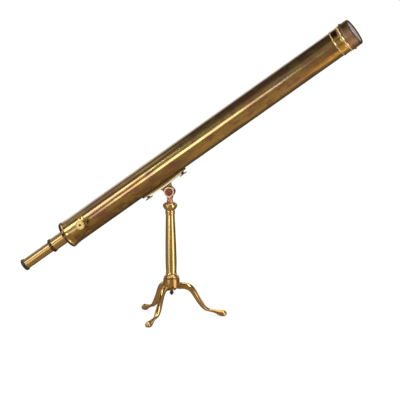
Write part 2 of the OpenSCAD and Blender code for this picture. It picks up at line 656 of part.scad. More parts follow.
// Cabriole leg as rings of points along its rows
module leg_blade() {
    rows = len(leg_rows);
    steps = 3;
    fine = [for (i = [0:rows - 2]) for (k = [0:steps - 1])
        blend(leg_rows[max(i - 1, 0)], leg_rows[i], leg_rows[i + 1], leg_rows[min(i + 2, rows - 1)],
            k / steps)];
    path = concat(fine, [leg_rows[rows - 1]]);
    n = len(path);
    m = 24;
    points = [for (i = [0:n - 1])
        let (p = path[i], q = path[min(i + 1, n - 1)] - path[max(i - 1, 0)],
            l = norm([q[0], q[1]]), nx = i == 0 ? 0 : -q[1] / l, nz = i == 0 ? 1 : q[0] / l)
        for (j = [0:m - 1]) let (a = 360 * j / m, s = sin(a),
            h = p[2] * (s > 0 ? 0.86 * s + 0.14 * pow(s, 6) : s),
            w = p[3] * leg_width * cos(a) * (1 - 0.12 * s))
        [p[0] + nx * h, w, p[1] + nz * h]];
    sides = [for (i = [0:n - 2]) for (j = [0:m - 1]) let (k = (j + 1) % m)
        each [[i * m + j, (i + 1) * m + j, (i + 1) * m + k], [i * m + j, (i + 1) * m + k, i * m + k]]];
    polyhedron(points, concat(sides, [[for (j = [0:m - 1]) j]],
        [[for (j = [m - 1:-1:0]) (n - 1) * m + j]]), convexity = 6);
}

module leg(a) color(bright) rotate(leg_azimuth + a) difference() {
    union() {
        leg_blade();
        translate([hinge_r, -root_t / 2, hinge_z - 10.9]) cube([12, root_t, 20.8]);
        translate([hinge_r, root_t / 2, hinge_z]) rotate([90, 0, 0]) cylinder(r = 9.5, h = root_t);
    }
    translate([hinge_r, 20, hinge_z]) rotate([90, 0, 0]) cylinder(r = pin_r + play, h = 40);
    translate([120, -30, -20]) cube([80, 60, 20]);
}

module leg_1() leg(0);
module leg_2() leg(120);
module leg_3() leg(240);

module leg_hinge_pins() color(iron) for (a = [0, 120, 240]) rotate(leg_azimuth + a)
    translate([hinge_r, 14.8, hinge_z]) rotate([90, 0, 0]) cylinder(r = pin_r, h = 29.6);

module hub_washer() color(bright) rotate_extrude()
    polygon([[hub_bore_r + 0.1, hub_low - 4], [12.4, hub_low - 4], [13, hub_low - 3.3],
        [13, hub_low - 0.05], [hub_bore_r + 0.1, hub_low - 0.05]]);

// Bolt up through the hub, its head a small turned finial
module hub_bolt() color(iron) rotate_extrude()
    polygon([[0, hub_low - 21.3], [1.4, hub_low - 19.8], [5.2, hub_low - 15.4], [7.1, hub_low - 12.8],
        [6.7, hub_low - 11.2], [4.8, hub_low - 9.6], [4.3, hub_low - 7.8], [6, hub_low - 6],
        [6.3, hub_low - 4.05], [hub_bore_r - 0.1, hub_low - 4.05], [hub_bore_r - 0.1, hub_low + 50],
        [0, hub_low + 50]]);

body_tube();
tail_ring();
draw_collar();
inner_guide_ring();
tube_stop_rear();
tube_stop_front();
objective_collar();
objective_cell();
flint_lens();
lens_spacer_ring();
crown_lens();
objective_rim();
pinion_plate();
pinion_plate_screws();
pinion_shaft();
focus_knob();
knob_screw();
drawtube();
drawtube_ring();
focus_rack();
rack_screws();
eyepiece_tube();
eye_cap();
eye_lens();
field_lens();
erector_lens_rear();
erector_lens_front();
eyepiece_rings();
erector_cell();
saddle_bar();
saddle_nuts();
rear_thumbscrew();
front_thumbscrew();
tilt_screw();
tilt_washers();
swivel_head();
spindle_washer();
spindle_nut();
pillar();
tripod_hub();
leg_1();
leg_2();
leg_3();
leg_hinge_pins();
hub_washer();
hub_bolt();
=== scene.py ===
# Finishes, studio and camera for the brass telescope on its pillar stand, and its three cast legs.
# Metres, +Z up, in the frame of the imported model. Stations run along the tube from the foot of the
# tilt pivot; angles round the tube start at the knob side and rise toward the top of the tube.
import json
import math

import bpy
import numpy as np
from mathutils import Matrix, Vector


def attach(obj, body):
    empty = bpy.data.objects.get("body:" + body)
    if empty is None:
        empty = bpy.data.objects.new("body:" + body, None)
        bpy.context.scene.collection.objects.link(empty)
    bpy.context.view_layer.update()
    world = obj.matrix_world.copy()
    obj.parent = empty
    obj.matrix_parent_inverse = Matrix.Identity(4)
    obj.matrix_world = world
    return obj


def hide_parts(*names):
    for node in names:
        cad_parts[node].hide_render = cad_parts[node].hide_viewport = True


print("loading the frame")
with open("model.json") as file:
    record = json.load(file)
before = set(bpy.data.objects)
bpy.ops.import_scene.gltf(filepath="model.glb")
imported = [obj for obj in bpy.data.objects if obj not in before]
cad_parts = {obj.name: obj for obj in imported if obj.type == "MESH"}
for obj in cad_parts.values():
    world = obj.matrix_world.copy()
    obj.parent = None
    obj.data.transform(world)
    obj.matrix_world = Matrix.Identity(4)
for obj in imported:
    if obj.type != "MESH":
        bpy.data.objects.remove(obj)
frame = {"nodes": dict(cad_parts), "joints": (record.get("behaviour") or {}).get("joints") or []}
nodes = frame["nodes"]
joints = {joint["name"]: joint for joint in frame["joints"]}
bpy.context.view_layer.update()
scene = bpy.context.scene

# The tube's own frame, from the joints: its axis, the way across it that is up, and station zero.
tubeAxis = -Vector(joints["focus_slide"]["axis"]).normalized()
tubeUp = Vector((-tubeAxis.z, 0, tubeAxis.x))
tubeTilt = math.atan2(tubeAxis.z, tubeAxis.x)
pinionCentre = Vector(joints["pinion_spin"]["pos_m"])
tiltPivot = Vector(joints["altitude_tilt"]["pos_m"])
tubeFoot = pinionCentre + tubeAxis * (tiltPivot - pinionCentre).dot(tubeAxis)
tubeRadius = 0.041


# Point at a station of the tube, at a radius from its axis and an angle round it.
def tubePoint(station, radius=0.0, degrees=0.0):
    turn = math.radians(degrees)
    across = tubeUp * math.sin(turn) - Vector((0, 1, 0)) * math.cos(turn)
    return tubeFoot + tubeAxis * station + across * radius


# Camera

view = {
    "azimuth": 12.379,      # degrees round the pillar from the -Y side
    "elevation": 8.682,     # degrees above the horizon
    "roll": -0.947,
    "target": Vector((0.09534, 0, 0.37146)),
    "distance": 7.0,
    "lens": 203.3,
    "sensor": 36.0,
}


def makeCamera():
    a, e, roll = (math.radians(view[key]) for key in ("azimuth", "elevation", "roll"))
    back = Vector((math.sin(a) * math.cos(e), -math.cos(a) * math.cos(e), math.sin(e)))
    level = Vector((math.cos(a), math.sin(a), 0))
    upright = back.cross(level)
    across = level * math.cos(roll) + upright * math.sin(roll)
    up = upright * math.cos(roll) - level * math.sin(roll)
    data = bpy.data.cameras.new("camera")
    data.lens, data.sensor_width = view["lens"], view["sensor"]
    data.clip_start, data.clip_end = 0.1, 200
    camera = bpy.data.objects.new("camera", data)
    scene.collection.objects.link(camera)
    place = view["target"] + back * view["distance"]
    camera.matrix_world = Matrix.Translation(place) @ Matrix((across, up, back)).transposed().to_4x4()
    scene.camera = camera
    return place


print("camera")
cameraPlace = makeCamera()

# Node helpers


# Adds a node, sets its properties, and links or sets its inputs.
def put(tree, kind, inputs=None, **settings):
    node = tree.nodes.new(kind)
    for key, value in settings.items():
        setattr(node, key, value)
    for key, value in (inputs or {}).items():
        if isinstance(value, bpy.types.NodeSocket):
            tree.links.new(value, node.inputs[key])
        else:
            node.inputs[key].default_value = value
    return node


# One Math node.
def maths(tree, operation, *values, clamp=False):
    return put(tree, "ShaderNodeMath", dict(enumerate(values)), operation=operation,
               use_clamp=clamp).outputs[0]


# Maps low..high of a value smoothly to a new range, held at its ends.
def spread(tree, value, low, high, to=(0.0, 1.0)):
    return put(tree, "ShaderNodeMapRange", {0: value, 1: low, 2: high, 3: to[0], 4: to[1]},
               interpolation_type="SMOOTHSTEP").outputs[0]


# Mixes two colours by a share; a plain colour is three numbers.
def tint(tree, share, first, second):
    node = put(tree, "ShaderNodeMix", data_type="RGBA")
    for index, value in ((0, share), (6, first), (7, second)):
        if isinstance(value, bpy.types.NodeSocket):
            tree.links.new(value, node.inputs[index])
        elif index:
            node.inputs[index].default_value = (*value, 1)
        else:
            node.inputs[index].default_value = value
    return node.outputs[2]


# Noise from 0 to 1 at a place, in waves per metre, stretched along the axes.
def noise(tree, place, scale, detail=3.0, rough=0.55, stretch=(1, 1, 1), shift=(0, 0, 0)):
    moved = put(tree, "ShaderNodeMapping", {"Vector": place, "Location": shift,
                                            "Scale": stretch}).outputs[0]
    return put(tree, "ShaderNodeTexNoise", {"Vector": moved, "Scale": scale, "Detail": detail,
                                            "Roughness": rough}, normalize=True).outputs["Fac"]


# A material with a Principled shader; gives its tree, shader and Object coordinates.
def newFinish(name):
    material = bpy.data.materials.new(name)
    material.use_nodes = True
    tree = material.node_tree
    shader = tree.nodes["Principled BSDF"]
    return material, tree, shader, put(tree, "ShaderNodeTexCoord").outputs["Object"]


# Links sockets to the shader's inputs; an underscore stands for a space.
def feed(tree, shader, **links):
    for name, socket in links.items():
        tree.links.new(socket, shader.inputs[name.replace("_", " ")])


# Sets inputs of the shader that are the same all over.
def setPlain(shader, **values):
    for name, value in values.items():
        shader.inputs[name.replace("_", " ")].default_value = value


# Object coordinates turned into the tube's frame: X along it from station zero, Z up across it.
def alongTube(tree, place):
    return put(tree, "ShaderNodeMapping",
               {"Vector": place, "Location": tubeFoot, "Rotation": (0, -tubeTilt, 0)},
               vector_type="TEXTURE").outputs[0]


# Station, angle round the tube in degrees, and distance from its axis.
def roundTube(tree, local):
    parts = put(tree, "ShaderNodeSeparateXYZ", {0: local}).outputs
    knobSide = maths(tree, "MULTIPLY", parts[1], -1.0)
    angle = maths(tree, "DEGREES", maths(tree, "ARCTAN2", parts[2], knobSide))
    flat = put(tree, "ShaderNodeCombineXYZ", {1: parts[1], 2: parts[2]}).outputs[0]
    reach = put(tree, "ShaderNodeVectorMath", {0: flat}, operation="LENGTH").outputs["Value"]
    return parts[0], angle, reach


# Rounded normal for sharp edges, and 1 where the metal is worn along an edge, which is where the
# rounded normal turns away from the plain one.
def edgeLight(tree, radius, unworn=0.985, bare=0.90):
    soft = put(tree, "ShaderNodeBevel", {"Radius": radius}, samples=8).outputs[0]
    plain = put(tree, "ShaderNodeNewGeometry").outputs["Normal"]
    match = put(tree, "ShaderNodeVectorMath", {0: soft, 1: plain},
                operation="DOT_PRODUCT").outputs["Value"]
    return soft, spread(tree, match, unworn, bare)


# 1 in the open and 0 where surfaces meet, for dirt and old lacquer.
def crevice(tree, distance):
    return put(tree, "ShaderNodeAmbientOcclusion", {"Distance": distance}, samples=6).outputs["AO"]


# 1 nearer the tube's axis than a wall, 0 beyond it.
def within(tree, reach, wall, blur=0.0002):
    return spread(tree, reach, wall + blur, wall - blur)


# Tints a colour where a noise is high, or low where the range runs downward.
def veil(tree, colour, noises, layers, shades):
    for kind, start, full, shade, share in layers:
        colour = tint(tree, spread(tree, noises[kind], start, full, (0, share)), colour, shades[shade])
    return colour


# Lays patches over a colour: real stains, and also painted shade, painted reflections and painted
# highlights. Each is an ellipse in station and angle, and the noise tears its edge.
# It starts at the outer squared distance and is full at the inner one.
def stainsAndPaintedLight(tree, colour, station, angle, clouds, patches, shades, tear=2.2, outer=1.3, inner=0.1):
    torn = maths(tree, "MULTIPLY", maths(tree, "SUBTRACT", clouds, 0.5), tear)
    for x, turn, long, wide, shade, share in patches:
        along = maths(tree, "DIVIDE", maths(tree, "SUBTRACT", station, x), long)
        across = maths(tree, "DIVIDE", maths(tree, "SUBTRACT", angle, float(turn)), float(wide))
        away = maths(tree, "ADD", maths(tree, "POWER", along, 2.0), maths(tree, "POWER", across, 2.0))
        cover = spread(tree, maths(tree, "ADD", away, torn), outer, inner, (0, share))
        colour = tint(tree, cover, colour, shades[shade])
    return colour


# Main tube

brassTube = {
    "base": (0.50, 0.345, 0.115),
    "black": (0.012, 0.011, 0.010),
    "roughness": (0.12, 0.18),
    "roughRange": (0.3, 0.7),
    "metallic": 0.9,
    "coat": 0.8,            # old clear lacquer
    "coatRoughness": 0.10,
    "waveDepth": 0.0010,    # of the gentle waves in the drawn sheet
    "waveStrength": 0.5,
    "boreWall": 0.0403,     # metres from the axis; nearer is the blackened inside
    "boreRoughness": 0.55,  # what the blackening adds
    # waves per metre, detail, roughness, stretch, shift
    "noises": {
        "streaks": (90, 4, 0.6, (0.04, 1, 1)),
        "clouds": (14, 5, 0.62, (0.6, 1, 1), (3.1, 0.7, 1.9)),
        "mottle": (42, 4, 0.6, (0.5, 1, 1), (5.5, 2.3, 0.8)),
        "spots": (170, 3, 0.55, (0.5, 1, 1), (0.3, 5.2, 2.2)),
        "scratches": (330, 2, 0.5, (0.012, 1, 1), (7.0, 0.4, 0.9)),
        "waves": (24, 1, 0.4, (0.25, 1, 1), (1.2, 0.1, 4.4))},
    # noise, where its tint starts and is full, shade, share
    "underStains": [
        ("clouds", 0.40, 0.66, "brown", 1.0), ("streaks", 0.50, 0.72, "gold", 0.5),
        ("streaks", 0.46, 0.30, "sootAndShade", 0.6)],
    "overStains": [
        ("mottle", 0.51, 0.60, "plum", 0.6), ("mottle", 0.48, 0.40, "moss", 0.6),
        ("spots", 0.64, 0.74, "sootAndShade", 0.5), ("scratches", 0.66, 0.76, "gold", 0.4)],
    # Some patches are painted light: the dark bands at 58, 40 and -78 degrees and the umber one at -50
    # degrees are painted shade, the gold, pink and orange ones under the objective half are painted
    # reflections, and the pitch spot beside the pinion plate is a painted shadow.
    # station, angle, half length, half width in degrees, shade, share
    "patches": [
        (-0.16, -50, 0.26, 30, "umber", 0.95), (0.40, -36, 0.30, 22, "gold", 0.35),
        (0.46, 58, 0.42, 28, "sootAndShade", 0.7), (-0.325, 8, 0.045, 30, "gold", 0.8),
        (-0.075, 3, 0.06, 10, "ember", 1.0), (-0.20, 17, 0.06, 12, "pink", 0.35),
        (-0.008, 6, 0.026, 9, "plum", 0.9), (0.05, -26, 0.09, 26, "plum", 0.6),
        (0.19, -40, 0.07, 14, "copperGlow", 0.25), (0.52, -40, 0.06, 24, "pink", 0.5),
        (0.50, 14, 0.07, 22, "ash", 0.5), (0.665, -40, 0.10, 13, "orange", 0.95),
        (0.62, 40, 0.13, 22, "sootAndShade", 0.6), (0.20, -78, 0.62, 14, "sootAndShade", 0.9),
        (-0.265, -5, 0.010, 10, "pitch", 1.0), (-0.325, -38, 0.05, 26, "umber", 0.5),
        (0.24, 150, 0.20, 30, "umber", 0.6), (-0.18, 170, 0.14, 26, "copperGlow", 0.3),
        (0.55, -150, 0.16, 34, "plum", 0.5), (0.02, -120, 0.18, 24, "gold", 0.5)],
    "shades": {
        "brown": (0.36, 0.20, 0.075), "moss": (0.43, 0.33, 0.10), "gold": (0.74, 0.52, 0.18),
        "pink": (0.55, 0.30, 0.19), "copperGlow": (0.80, 0.36, 0.13), "plum": (0.29, 0.15, 0.10),
        "orange": (0.98, 0.50, 0.12), "ash": (0.38, 0.29, 0.21), "sootAndShade": (0.13, 0.07, 0.035),
        "umber": (0.20, 0.115, 0.04), "ember": (0.42, 0.19, 0.045), "pitch": (0.03, 0.018, 0.008)},
}


# Lacquered brass of the main tube: long drawn streaks, stains, dark spots, fine bright scratches, and
# patches of painted shade and painted reflection.
def agedTube():
    values = brassTube
    shades = values["shades"]
    material, tree, shader, place = newFinish("agedTubeBrass")
    local = alongTube(tree, place)
    station, angle, reach = roundTube(tree, local)
    noises = {kind: noise(tree, local, *settings) for kind, settings in values["noises"].items()}
    colour = veil(tree, values["base"], noises, values["underStains"], shades)
    colour = stainsAndPaintedLight(tree, colour, station, angle, noises["clouds"], values["patches"], shades)
    colour = veil(tree, colour, noises, values["overStains"], shades)
    inside = within(tree, reach, values["boreWall"])
    colour = tint(tree, inside, colour, values["black"])
    rough = spread(tree, noises["clouds"], *values["roughRange"], values["roughness"])
    rough = maths(tree, "ADD", rough, maths(tree, "MULTIPLY", inside, values["boreRoughness"]), clamp=True)
    bump = put(tree, "ShaderNodeBump", {"Height": noises["waves"], "Strength": values["waveStrength"],
                                        "Distance": values["waveDepth"]})
    feed(tree, shader, Base_Color=colour, Roughness=rough, Normal=bump.outputs[0],
         Metallic=maths(tree, "MULTIPLY", maths(tree, "SUBTRACT", 1.0, inside), values["metallic"]))
    setPlain(shader, Coat_Weight=values["coat"], Coat_Roughness=values["coatRoughness"])
    return material


# Turned and drawn metal

plainTurned = {             # what a finish has unless it says otherwise
    "lineNoise": (600, 3, 0.6),     # tool lines: waves per metre, detail, roughness
    "streak": (1, 1, 1),    # stretch of the tool lines
    "lineRange": (0.55, 0.75),
    "lineShare": 0.18,      # how far the tool lines show in the colour
    "bump": 0.02,
    "bumpDepth": 0.0001,
    "tube": False,          # laid out along the tube
    "cloudNoise": (55, 5, 0.62, (1, 1, 1), (1.7, 4.1, 0.4)),
    "tarnish": (0.52, 0.74, (0, 0.5)),      # where the dark clouds start and are full, their share
    "roughRange": (0.3, 0.75),
    "speckNoise": (420, 2, 0.5, (1, 1, 1), (0.9, 0.2, 7.7)),
    "specks": (0.66, 0.76, (0, 0.35)),
    "dirtReach": 0.006,     # how far dirt spreads out of a corner
    "dirtRange": (0.25, 0.75),
    "wear": 0.7,
    "edge": 0.0006,         # how far the wear reaches from an edge
    "metallic": 0.95,
    "wornMetal": 0.55,      # metallic where an edge is worn pale
    "coat": 0.0,
    "coatRoughness": 0.12,
    "patches": [],          # as on the main tube
    "shades": {},
    "tear": 1.2,            # how far the clouds tear the edge of a patch
    "ridges": [],           # station and half width of a pale ring painted as a bright highlight, and how far it shows
    "ridgeBlur": 0.2,
    "neck": None,           # second colour above a height, and a darker one painted as shade on its flat face at the knob side
    "liner": None,          # the wall inside a distance from the tube's axis
    "shaded": None,         # distances from the axis where painted shade under the tube thins out and ends
    "bow": None,            # pale band painted as a highlight along a bowed lower edge, darker below it
}
turnedFinishes = {
    "drawnTubeBrass": {
        "base": (0.55, 0.37, 0.14), "dark": (0.26, 0.15, 0.06), "pale": (0.76, 0.55, 0.24),
        "roughness": (0.22, 0.30), "streak": (0.05, 1, 1), "tube": True, "wear": 0.6, "coat": 0.7},
    "collarBrass": {
        "base": (0.72, 0.49, 0.14), "dark": (0.24, 0.10, 0.03), "pale": (1.0, 0.80, 0.46),
        "roughness": (0.08, 0.13), "streak": (1, 0.05, 0.05), "tube": True, "wear": 0.9, "coat": 0.5,
        "ridges": [(0.6962, 0.0012, 0.7), (0.7248, 0.0017, 1.0)],
        # The maroon patch on top is painted shade, and the olive and gold patches below it are painted
        # reflections round the collar.
        "shades": {"maroon": (0.085, 0.02, 0.008), "gold": (0.98, 0.68, 0.20),
                   "olive": (0.36, 0.23, 0.04)},
        "patches": [(0.712, 44, 0.03, 20, "maroon", 0.95), (0.712, 11, 0.012, 5, "olive", 0.9),
                    (0.712, -13, 0.012, 5, "olive", 0.8), (0.712, -38, 0.03, 18, "gold", 0.8)]},
    "tailBrass": {
        "base": (0.55, 0.38, 0.13), "dark": (0.22, 0.12, 0.045), "pale": (0.95, 0.75, 0.34),
        "roughness": (0.11, 0.18), "streak": (1, 0.05, 0.05), "tube": True, "wear": 0.7, "coat": 0.15,
        # The dark patches on the flange, at the top and low down, are painted shade, and the pale one is a
        # painted highlight.
        "shades": {"sootAndShade": (0.055, 0.032, 0.016), "pale": (1.0, 0.80, 0.36)},
        "patches": [(-0.352, 40, 0.0065, 70, "sootAndShade", 1.0), (-0.353, -60, 0.0045, 60, "sootAndShade", 0.9),
                    (-0.3455, -50, 0.0020, 40, "pale", 0.9)]},
    "slideBrass": {
        "base": (0.42, 0.26, 0.085), "dark": (0.17, 0.085, 0.03), "pale": (0.85, 0.64, 0.30),
        "roughness": (0.28, 0.38), "streak": (1, 0.05, 0.05), "tube": True},
    "standBrass": {
        "base": (0.69, 0.46, 0.16), "dark": (0.32, 0.18, 0.06), "pale": (0.95, 0.76, 0.44),
        "roughness": (0.12, 0.19), "streak": (0.05, 0.05, 1), "coat": 0.4},
    "hubBrass": {
        "base": (0.52, 0.285, 0.095), "dark": (0.28, 0.14, 0.05), "pale": (0.92, 0.70, 0.42),
        "roughness": (0.27, 0.36), "streak": (0.05, 0.05, 1), "coat": 0.1},
    "castBrass": {
        "base": (0.60, 0.385, 0.13), "dark": (0.22, 0.11, 0.035), "pale": (0.97, 0.78, 0.46),
        "roughness": (0.12, 0.19), "lineShare": 0.08, "coat": 0.4},
    "knuckleBrass": {
        "base": (0.66, 0.455, 0.18), "dark": (0.30, 0.15, 0.06), "pale": (0.97, 0.76, 0.56),
        "roughness": (0.12, 0.20), "streak": (0.05, 0.05, 1), "wear": 0.9,
        "coat": 0.8,
        # The cheek colour is painted shade on the flat face at the knob side.
        "neck": {"heights": (0.3650, 0.3672), "copper": (0.76, 0.44, 0.27),
                 "cheek": (0.27, 0.155, 0.095), "facing": (-0.99, -0.92)}},
    "knobBrass": {
        "base": (0.64, 0.48, 0.17), "dark": (0.24, 0.14, 0.04), "pale": (0.80, 0.64, 0.32),
        "roughness": (0.24, 0.34), "tube": True, "wear": 0.7},
    "plateBrass": {
        "base": (0.52, 0.38, 0.13), "dark": (0.28, 0.16, 0.06), "pale": (0.92, 0.74, 0.36),
        "roughness": (0.20, 0.30), "tube": True, "wear": 0.6,
        # The umber patch darkens the plate's lower end as painted shade.
        "shades": {"umber": (0.24, 0.13, 0.05)}, "patches": [(-0.276, -30, 0.02, 22, "umber", 0.95)]},
    "saddleBrass": {
        "base": (0.17, 0.12, 0.04), "dark": (0.08, 0.04, 0.015), "pale": (1.0, 0.84, 0.48),
        "roughness": (0.34, 0.46), "streak": (0.05, 1, 1), "lineShare": 0.1, "tube": True, "wear": 1.0,
        "wornMetal": 0.3, "edge": 0.0015, "shaded": (0.0430, 0.0480),
        # The bow paints a highlight along the lower edge and darkens what lies below it.
        "bow": {"radius": 0.4168, "lowest": 0.0530, "head": (0.0052, 0.00312), "foot": (-0.0008, 0.0002),
                "ends": (0.085, 0.02, (0.15, 0.9)), "darkBelow": (0.0, -0.002, (0, 0.6))}},
    "thumbBrass": {
        "base": (0.17, 0.12, 0.05), "dark": (0.07, 0.04, 0.02), "pale": (0.60, 0.45, 0.22),
        "roughness": (0.25, 0.36), "wear": 0.6},
    "brownedBrass": {
        "base": (0.42, 0.25, 0.155), "dark": (0.20, 0.11, 0.065), "pale": (0.56, 0.36, 0.23),
        "roughness": (0.34, 0.50), "streak": (1, 0.1, 0.1), "tube": True, "wear": 0.5, "wornMetal": 0.8,
        # The dark patch on the top is painted shade.
        "shades": {"sootAndShade": (0.10, 0.05, 0.02)}, "patches": [(0.745, 62, 0.04, 40, "sootAndShade", 0.9)]},
    "rimBrass": {
        "base": (0.30, 0.18, 0.11), "dark": (0.13, 0.07, 0.045), "pale": (0.46, 0.29, 0.19),
        "roughness": (0.34, 0.48), "streak": (1, 0.1, 0.1), "tube": True, "wear": 0.3,
        # the wall inside the ring is bare, but black in front of the lip's station
        "liner": {"wall": 0.0402, "lip": 0.7566, "lipBlur": 0.0004, "bare": (0.56, 0.44, 0.39),
                  "metallic": (0.2, 0.2, 0.2), "roughness": (0.5, 0.5, 0.5)},
        "shades": {"sootAndShade": (0.08, 0.04, 0.02), "pitch": (0.012, 0.010, 0.009)},
        # The first patch, a dark one on the top, is painted shade.
        "patches": [(0.76, 62, 0.04, 40, "sootAndShade", 0.9), (0.7635, 0, 0.005, 900, "pitch", 1.0)]},
    "darkRingBrass": {
        "base": (0.10, 0.06, 0.03), "dark": (0.035, 0.02, 0.012), "pale": (0.62, 0.42, 0.18),
        "roughness": (0.26, 0.40), "streak": (1, 0.1, 0.1), "tube": True, "wear": 0.9},
    "copperScrew": {
        "base": (0.24, 0.085, 0.045), "dark": (0.09, 0.03, 0.018), "pale": (0.50, 0.24, 0.15),
        "roughness": (0.28, 0.45), "wear": 0.6, "wornMetal": 0.9},
    "darkIron": {
        "base": (0.075, 0.06, 0.05), "dark": (0.03, 0.022, 0.018), "pale": (0.26, 0.22, 0.18),
        "roughness": (0.30, 0.48), "wear": 0.6, "wornMetal": 0.9},
}


# Second colour above a height, with a darker colour painted as shade on the flat face at the knob side,
# which the same face on the far side does not get.
def neckColour(tree, place, base, neck):
    height = put(tree, "ShaderNodeSeparateXYZ", {0: place}).outputs[2]
    ownNormal = put(tree, "ShaderNodeTexCoord").outputs["Normal"]
    sideways = put(tree, "ShaderNodeSeparateXYZ", {0: ownNormal}).outputs[1]
    copper = tint(tree, spread(tree, sideways, *neck["facing"]), neck["cheek"], neck["copper"])
    return tint(tree, spread(tree, height, *neck["heights"]), base, copper)


# A painted highlight along a bowed lower edge, an arc of a circle in the tube's upright plane: a pale
# band above the arc that fades toward the ends of the bar, and a darker colour on what lies below the arc.
def bowedEdge(tree, local, station, paleShare, colour, dark, bow):
    across = put(tree, "ShaderNodeSeparateXYZ", {0: local}).outputs[2]
    square = maths(tree, "POWER", station, 2.0)
    arc = maths(tree, "SQRT", maths(tree, "SUBTRACT", bow["radius"] ** 2, square))
    above = maths(tree, "ADD", maths(tree, "SUBTRACT", across, bow["radius"] - bow["lowest"]), arc)
    band = maths(tree, "MULTIPLY", spread(tree, above, *bow["head"]), spread(tree, above, *bow["foot"]))
    ends = spread(tree, maths(tree, "ABSOLUTE", station), *bow["ends"])
    paleShare = maths(tree, "MAXIMUM", paleShare, maths(tree, "MULTIPLY", band, ends))
    return paleShare, tint(tree, spread(tree, above, *bow["darkBelow"]), colour, dark)


# Metal with fine tool lines or drawn streaks, cloudy tarnish, dirt in corners and worn pale edges, and in
# some finishes painted shade and painted highlights.
def turnedMetal(name):
    values = {**plainTurned, **turnedFinishes[name]}
    base, dark, pale = values["base"], values["dark"], values["pale"]
    material, tree, shader, place = newFinish(name)
    tubeLocal = alongTube(tree, place)
    local = tubeLocal if values["tube"] else place
    station, angle, reach = roundTube(tree, tubeLocal)
    lines = noise(tree, local, *values["lineNoise"], values["streak"])
    clouds = noise(tree, local, *values["cloudNoise"])
    softNormal, paleShare = edgeLight(tree, values["edge"])
    if values["neck"]:
        base = neckColour(tree, place, base, values["neck"])
    colour = tint(tree, spread(tree, clouds, *values["tarnish"]), base, dark)
    colour = stainsAndPaintedLight(tree, colour, station, angle, clouds, values["patches"], values["shades"],
                   values["tear"])
    lined = spread(tree, lines, *values["lineRange"], (0, values["lineShare"]))
    colour = tint(tree, lined, colour, pale)
    paleShare = maths(tree, "MULTIPLY", paleShare, values["wear"])
    # Pale rings painted as bright highlights along edges, laid over the edge wear.
    for x, half, share in values["ridges"]:
        off = maths(tree, "ABSOLUTE", maths(tree, "SUBTRACT", station, x))
        blur = half * values["ridgeBlur"]
        paleShare = maths(tree, "MAXIMUM", paleShare, spread(tree, off, half + blur, half - blur, (0, share)))
    # Painted highlight along the bowed lower edge, and darker below it.
    if values["bow"]:
        paleShare, colour = bowedEdge(tree, tubeLocal, station, paleShare, colour, dark, values["bow"])
    # Pale where edges are worn, and where the pale rings and the bowed band paint highlights.
    colour = tint(tree, paleShare, colour, pale)
    # Painted shade under the tube, darkest nearest its axis.
    if values["shaded"]:
        colour = tint(tree, spread(tree, reach, *values["shaded"]), dark, colour)
    clean = spread(tree, crevice(tree, values["dirtReach"]), *values["dirtRange"])
    colour = tint(tree, clean, dark, colour)
    specks = noise(tree, local, *values["speckNoise"])
    colour = tint(tree, spread(tree, specks, *values["specks"]), colour, dark)
    metallic = spread(tree, paleShare, 0.0, 1.0, (values["metallic"], values["wornMetal"]))
    rough = spread(tree, clouds, *values["roughRange"], values["roughness"])
    liner = values["liner"]
    if liner:
        inside = within(tree, reach, liner["wall"])
        behindLip = within(tree, station, liner["lip"], liner["lipBlur"])
        colour = tint(tree, inside, colour, tint(tree, behindLip, brassTube["black"], liner["bare"]))
        metallic = tint(tree, inside, metallic, liner["metallic"])
        rough = tint(tree, inside, rough, liner["roughness"])
    bump = put(tree, "ShaderNodeBump", {"Height": lines, "Strength": values["bump"],
                                        "Distance": values["bumpDepth"], "Normal": softNormal})
    feed(tree, shader, Base_Color=colour, Roughness=rough, Metallic=metallic, Normal=bump.outputs[0])
    setPlain(shader, Coat_Weight=values["coat"], Coat_Roughness=values["coatRoughness"])
    return material


lacquer = {
    "deep": (0.010, 0.009, 0.008),
    "faded": (0.028, 0.020, 0.016),
    "rubbed": (0.20, 0.12, 0.06),
    "clouds": (60, 4, 0.6),
    "cloudRange": (0.3, 0.7),
    "lines": (600, 2, 0.6, (1, 0.08, 0.08)),
    "edge": 0.0006,
    "rubbedRange": (0.45, 0.62, (0.05, 0.7)),
    "roughness": (0.30, 0.46),
    "bump": 0.05,
    "bumpDepth": 0.0002,
    "coat": 0.25,
    "coatRoughness": 0.2,
}


# Black lacquer over turned brass, rubbed through a little at its edges.
def blackLacquer():
    values = lacquer
    material, tree, shader, place = newFinish("blackLacquer")
    clouds = noise(tree, place, *values["clouds"])
    lines = noise(tree, alongTube(tree, place), *values["lines"])
    softNormal, paleShare = edgeLight(tree, values["edge"])
    colour = tint(tree, spread(tree, clouds, *values["cloudRange"]), values["deep"], values["faded"])
    rubbed = maths(tree, "MULTIPLY", paleShare, spread(tree, clouds, *values["rubbedRange"]))
    colour = tint(tree, rubbed, colour, values["rubbed"])
    bump = put(tree, "ShaderNodeBump", {"Height": lines, "Strength": values["bump"],
                                        "Distance": values["bumpDepth"], "Normal": softNormal})
    feed(tree, shader, Base_Color=colour, Normal=bump.outputs[0],
         Roughness=spread(tree, clouds, *values["cloudRange"], values["roughness"]))
    setPlain(shader, Coat_Weight=values["coat"], Coat_Roughness=values["coatRoughness"])
    return material


dustyGlass = {
    "clean": (0.94, 0.86, 0.84),
    "dusty": (0.82, 0.74, 0.72),
    "dust": (500, 3, 0.6),
    "dustRange": (0.4, 0.8),
    "smears": (0.55, 0.80, (0.0, 0.10)),    # where the dust roughens the glass, and how far
    "clear": 0.98,
    "ior": 1.52,
    "film": 1.0,            # thin pale film of dust
    "filmRoughness": 0.35,
    "filmColour": (1.0, 0.93, 0.90, 1.0),
}


